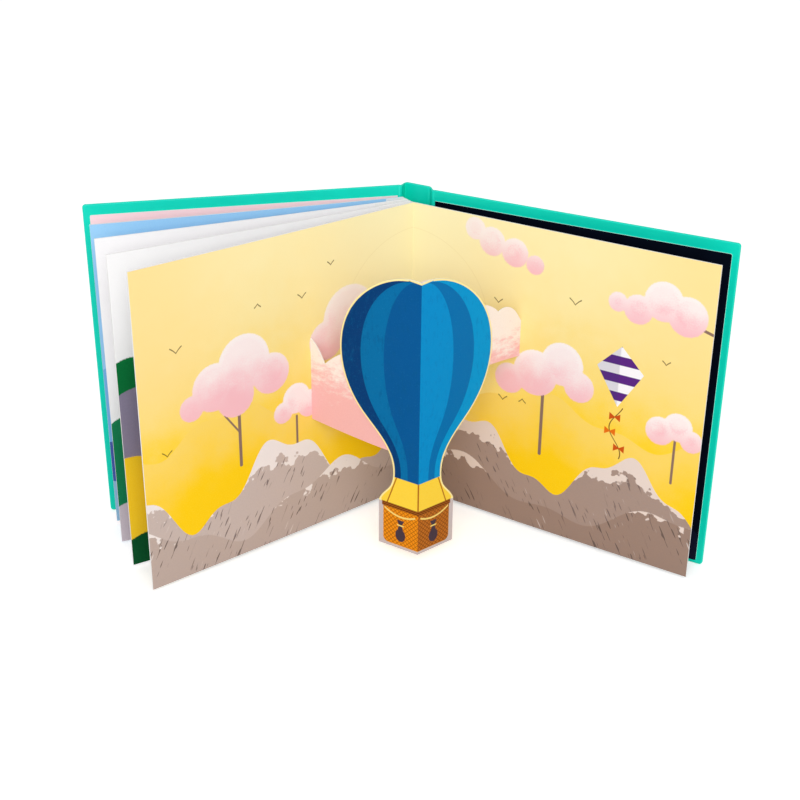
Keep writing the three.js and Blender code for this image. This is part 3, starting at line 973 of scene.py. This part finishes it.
hingePaper = {  # ends are (height, share of the full thickness)
    "lap": 2.2, "bend": 0.5, "tuck": 0.08, "shoulder": 1.2, "shoulderHalf": 0.4,
    "outer": 0.55, "inner": 0.45, "steps": 5, "ends": [(0.25, 0.35), (0.4, 0.8), (0.9, 1)],
    "blend": (3.0, 1.0), "blendHeight": 0.1,
}


def hingePapers():
    size = hingePaper
    lap, bend, shoulder = size["lap"], size["bend"], size["shoulder"]
    thin = case["boardThickness"] / 2 - size["tuck"]
    thick = case["boardThickness"] / 2 + size["tuck"]
    levels = size["ends"] + [(case["boardHeight"] - z, scale) for z, scale in reversed(size["ends"])]
    spineIn = -spineOut
    for side, spineFold, toSpine, hinge, cover, inward in covers:
        joint = (hinge - spineFold).normalized()
        coverIn, jointIn = inward(cover), inward(joint)
        middle = (spineFold + hinge) / 2
        rows = []
        for sign, depth in ((-1, size["outer"]), (1, size["inner"])):  # outer skin, then inner skin
            rows.append(smoothLine([
                spineFold + toSpine * lap + spineIn * sign * thin,
                spineFold + toSpine * bend + spineIn * sign * thick,
                spineFold + joint * shoulder + (jointIn + spineIn) * sign * size["shoulderHalf"],
                middle + jointIn * sign * depth,
                hinge - joint * shoulder + (jointIn + coverIn) * sign * size["shoulderHalf"],
                hinge + cover * bend + coverIn * sign * thick,
                hinge + cover * lap + coverIn * sign * thin], size["steps"]))
        section = rows[0] + rows[1][::-1]
        centres = [(outer + inner) / 2 for outer, inner in zip(*rows)]
        centres = centres + centres[::-1]

        def build(bm):
            rings = []
            for z, scale in levels:
                rings.append([bm.verts.new((
                    (c.x + (p.x - c.x) * scale) * mm, (c.y + (p.y - c.y) * scale) * mm, z * mm))
                    for p, c in zip(section, centres)])
            for low, high in zip(rings, rings[1:]):
                wall(bm, low, high)
            for ring in (rings[0], rings[-1]):
                for i in range(len(rows[0]) - 1):
                    bm.faces.new((ring[i], ring[i + 1], ring[-2 - i], ring[-1 - i]))

        mesh = meshFrom(side + "_hinge_paper", build, [wrap])
        mesh.shade_smooth()
        low = size["blendHeight"]
        ends = [hinge - joint * size["blend"][0], hinge + cover * size["blend"][1]]
        body = ["book_block", side + "_cover"] + [(end.x * mm, end.y * mm, low) for end in ends]
        pieceFrom(mesh, side + "_hinge_paper", body, side + "_joint")
    print("hinge papers")


pastedown = {"inset": 2.5, "fore": 4, "card": 0.6, "corner": 1.0, "cornerSteps": 4, "sink": 0.1}


def endPapers():
    start, reach = pastedown["inset"], case["boardWidth"] - case["foldInset"] - pastedown["fore"]
    foot, head = block["foot"], block["foot"] + block["height"]
    corner, steps = pastedown["corner"], pastedown["cornerSteps"]
    lift = case["boardThickness"] / 2 - pastedown["sink"] + pastedown["card"] / 2
    width = reach - start
    papers = [("pink", "endpaper_pink"), ("night", "endpaper_dark")]
    for (side, spineFold, toSpine, hinge, out, inward), (art, slot) in zip(covers, papers):
        line = [hinge + out * start + inward(out) * lift, hinge + out * reach + inward(out) * lift]
        outline = [(0, foot)]
        for x, z, turn in ((width - corner, foot + corner, -90), (width - corner, head - corner, 0)):
            for step in range(steps + 1):
                angle = math.radians(turn + step * 90 / steps)
                outline.append((x + corner * math.cos(angle), z + corner * math.sin(angle)))
        outline.append((0, head))
        if side == "front":  # its printed side is on the path's right when the path runs inwards
            line.reverse()
            outline = [(width - x, z) for x, z in reversed(outline)]
        inks = [prints[art], edge, edge]
        mesh = foldedCard(side + "_pastedown_paper", line, [outline], pastedown["card"], inks)
        pieceFrom(mesh, side + "_pastedown_paper", side + "_cover", side + "_pastedown")
    print("endpapers")


def dressBoards():
    for node in ("spine", "front_cover", "back_cover"):
        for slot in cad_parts[node].material_slots:
            slot.material = wrap


# Camera, light and floor.
view = {"lens": 60.46, "sensor": 36, "place": (-10.0, -823.8, 446.9), "down": 25.24, "roll": 0.56}
light = {  # key and floor sizes are metres
    "world": 0.6, "key": 22, "keyPlace": (0.0, -1.85, 1.15), "keyAim": (0, -0.06, 0.1), "keySize": 1.5,
    "floorGlow": 0.45, "floorHalf": 6.0, "floorDrop": 0.0002,
}


def setCamera():
    data = bpy.data.cameras.new("camera")
    data.lens = view["lens"]
    data.sensor_width = view["sensor"]
    camera = objectFrom("camera", data)
    turn = Matrix.Rotation(math.radians(90 - view["down"]), 4, "X") @ Matrix.Rotation(
        math.radians(view["roll"]), 4, "Z")
    camera.matrix_world = Matrix.Translation(Vector(view["place"]) * mm) @ turn
    bpy.context.scene.camera = camera


def setLight():
    scene = bpy.context.scene
    scene.view_settings.view_transform = "Standard"
    scene.world = bpy.data.worlds.new("studio")
    studio = Ink("studio", scene.world)
    rays = studio.node("ShaderNodeLightPath").outputs
    seen = studio.calc("MAXIMUM", rays["Is Camera Ray"], rays["Is Glossy Ray"])
    seen = studio.calc("MAXIMUM", seen, rays["Is Transmission Ray"])
    backdrop = studio.out("ShaderNodeBackground", None, {
        "Color": (1, 1, 1, 1), "Strength": seen * (1 - light["world"]) + light["world"]})
    studio.node("ShaderNodeOutputWorld", None, {0: backdrop})

    data = bpy.data.lights.new("key", "AREA")
    data.shape = "SQUARE"
    data.size = light["keySize"]
    data.energy = light["key"]
    key = objectFrom("key", data)
    key.location = light["keyPlace"]
    key.rotation_mode = "QUATERNION"
    key.rotation_quaternion = (Vector(light["keyAim"]) - key.location).to_track_quat("-Z", "Y")


def layFloor():
    ink = Ink("floor")
    grain = ink.noise(ink.objectPlace(), 40)
    seen = Num(ink, ink.out("ShaderNodeLightPath", socket="Is Camera Ray"))
    glow = {"Emission Color": (1, 1, 1, 1), "Emission Strength": seen * light["floorGlow"]}
    material = ink.finish(ink.mix(grain, (244, 244, 244), (248, 248, 248)), 0.9, extra=glow)

    def build(bm):
        half = light["floorHalf"]
        bm.faces.new([bm.verts.new((x * half, y * half, -light["floorDrop"]))
                      for x, y in ((-1, -1), (1, -1), (1, 1), (-1, 1))])

    objectFrom("floor", meshFrom("floor", build, [material]))


setCamera()
setLight()
layFloor()
growLeaves()
foldBacks()
popupStrip()
popupBalloon()
hingePapers()
endPapers()
dressBoards()
